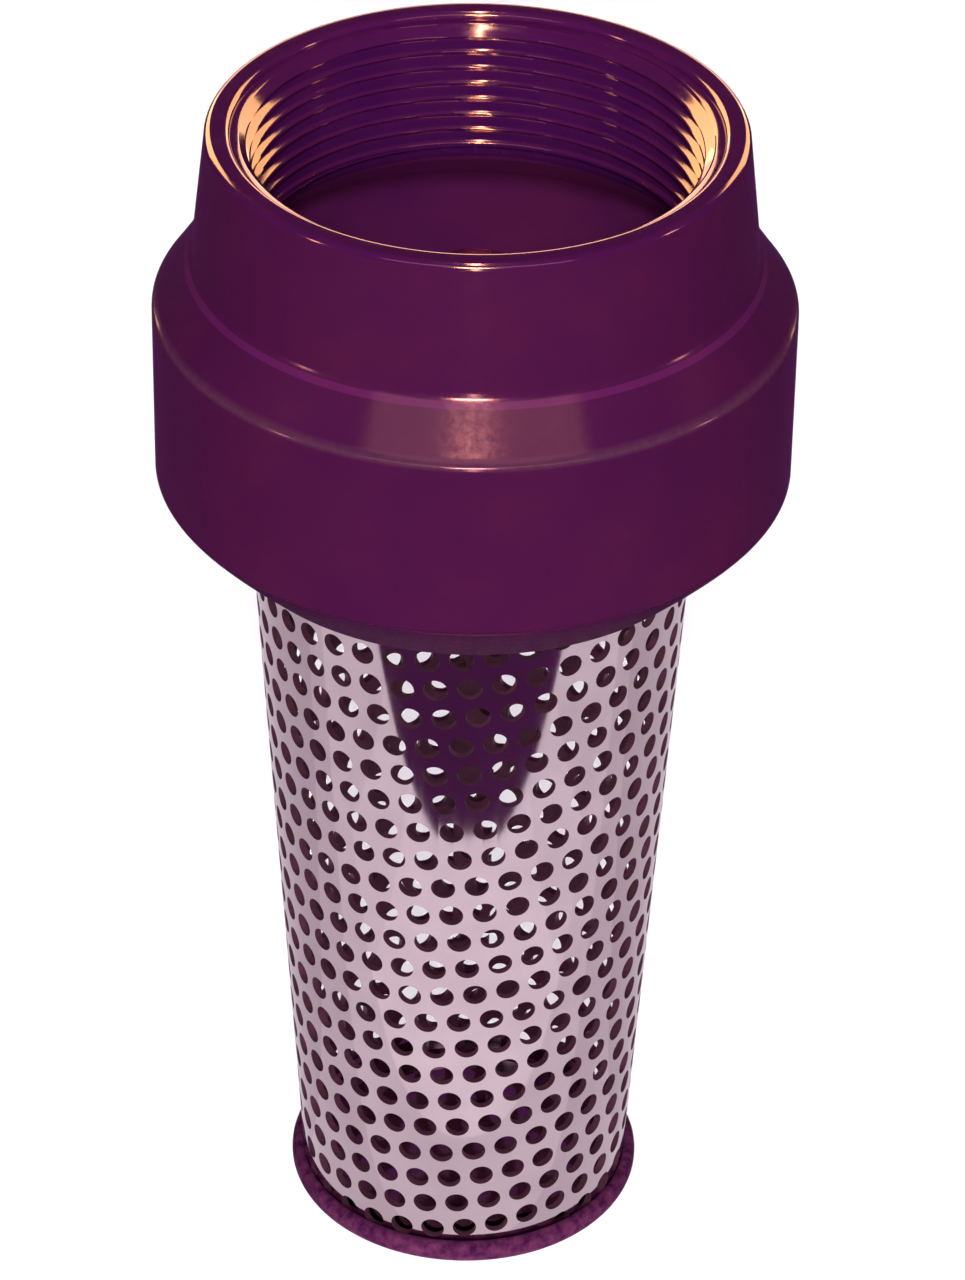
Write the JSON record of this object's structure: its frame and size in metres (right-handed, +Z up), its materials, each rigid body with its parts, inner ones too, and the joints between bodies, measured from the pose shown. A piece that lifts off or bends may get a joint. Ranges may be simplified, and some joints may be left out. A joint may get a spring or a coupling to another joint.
{
  "type": "foot valve",
  "caption": "Spring-loaded foot valve: dark bronze body with a female pipe thread, guided poppet and a tapered perforated strainer closed by an end band.",
  "frame": {"origin": "on the valve's axis, at the underside of the strainer's end band", "axes": "+Z up along the axis, from the strainer to the pipe thread; -Y towards the guide post between the two rear ones"},
  "size_m": [0.0818, 0.0818, 0.164],
  "materials": {
    "body_bronze": "dark patinated casting",
    "end_band": "dark patinated, satin",
    "stainless_sheet": "satin perforated sheet",
    "spring_steel": "drawn wire",
    "turned_steel": "fine turned",
    "black_rubber": "matte moulded",
    "bush_bronze": "turned"
  },
  "bodies": {
    "valve": {"valve_body": "body_bronze", "seat_ring": "body_bronze", "seat_o_ring": "black_rubber", "seat_retaining_ring": "spring_steel", "lower_guide_bush": "bush_bronze", "guide_post_1": "turned_steel", "guide_post_2": "turned_steel", "guide_post_3": "turned_steel", "guide_bridge": "body_bronze", "bridge_nut_1": "turned_steel", "bridge_nut_2": "turned_steel", "bridge_nut_3": "turned_steel", "upper_guide_bush": "bush_bronze", "spring_washer": "turned_steel", "return_spring": "spring_steel", "strainer_screen": "stainless_sheet", "strainer_retaining_ring": "spring_steel", "strainer_end_band": "end_band", "strainer_end_plate": "stainless_sheet"},
    "poppet": {"poppet_stem": "turned_steel", "poppet_disc": "body_bronze", "poppet_seal": "black_rubber", "seal_clamp_plate": "turned_steel", "stem_washer": "turned_steel", "stem_lock_nut": "turned_steel"}
  },
  "joints": [
    {"name": "poppet_lift", "type": "slide", "parent": "valve", "child": "poppet", "axis": [0, 0, 1], "range_m": [0, 0.008], "stiffness_N_per_m": 350, "springref_m": -0.0115, "deforming": ["return_spring"]}
  ]
}
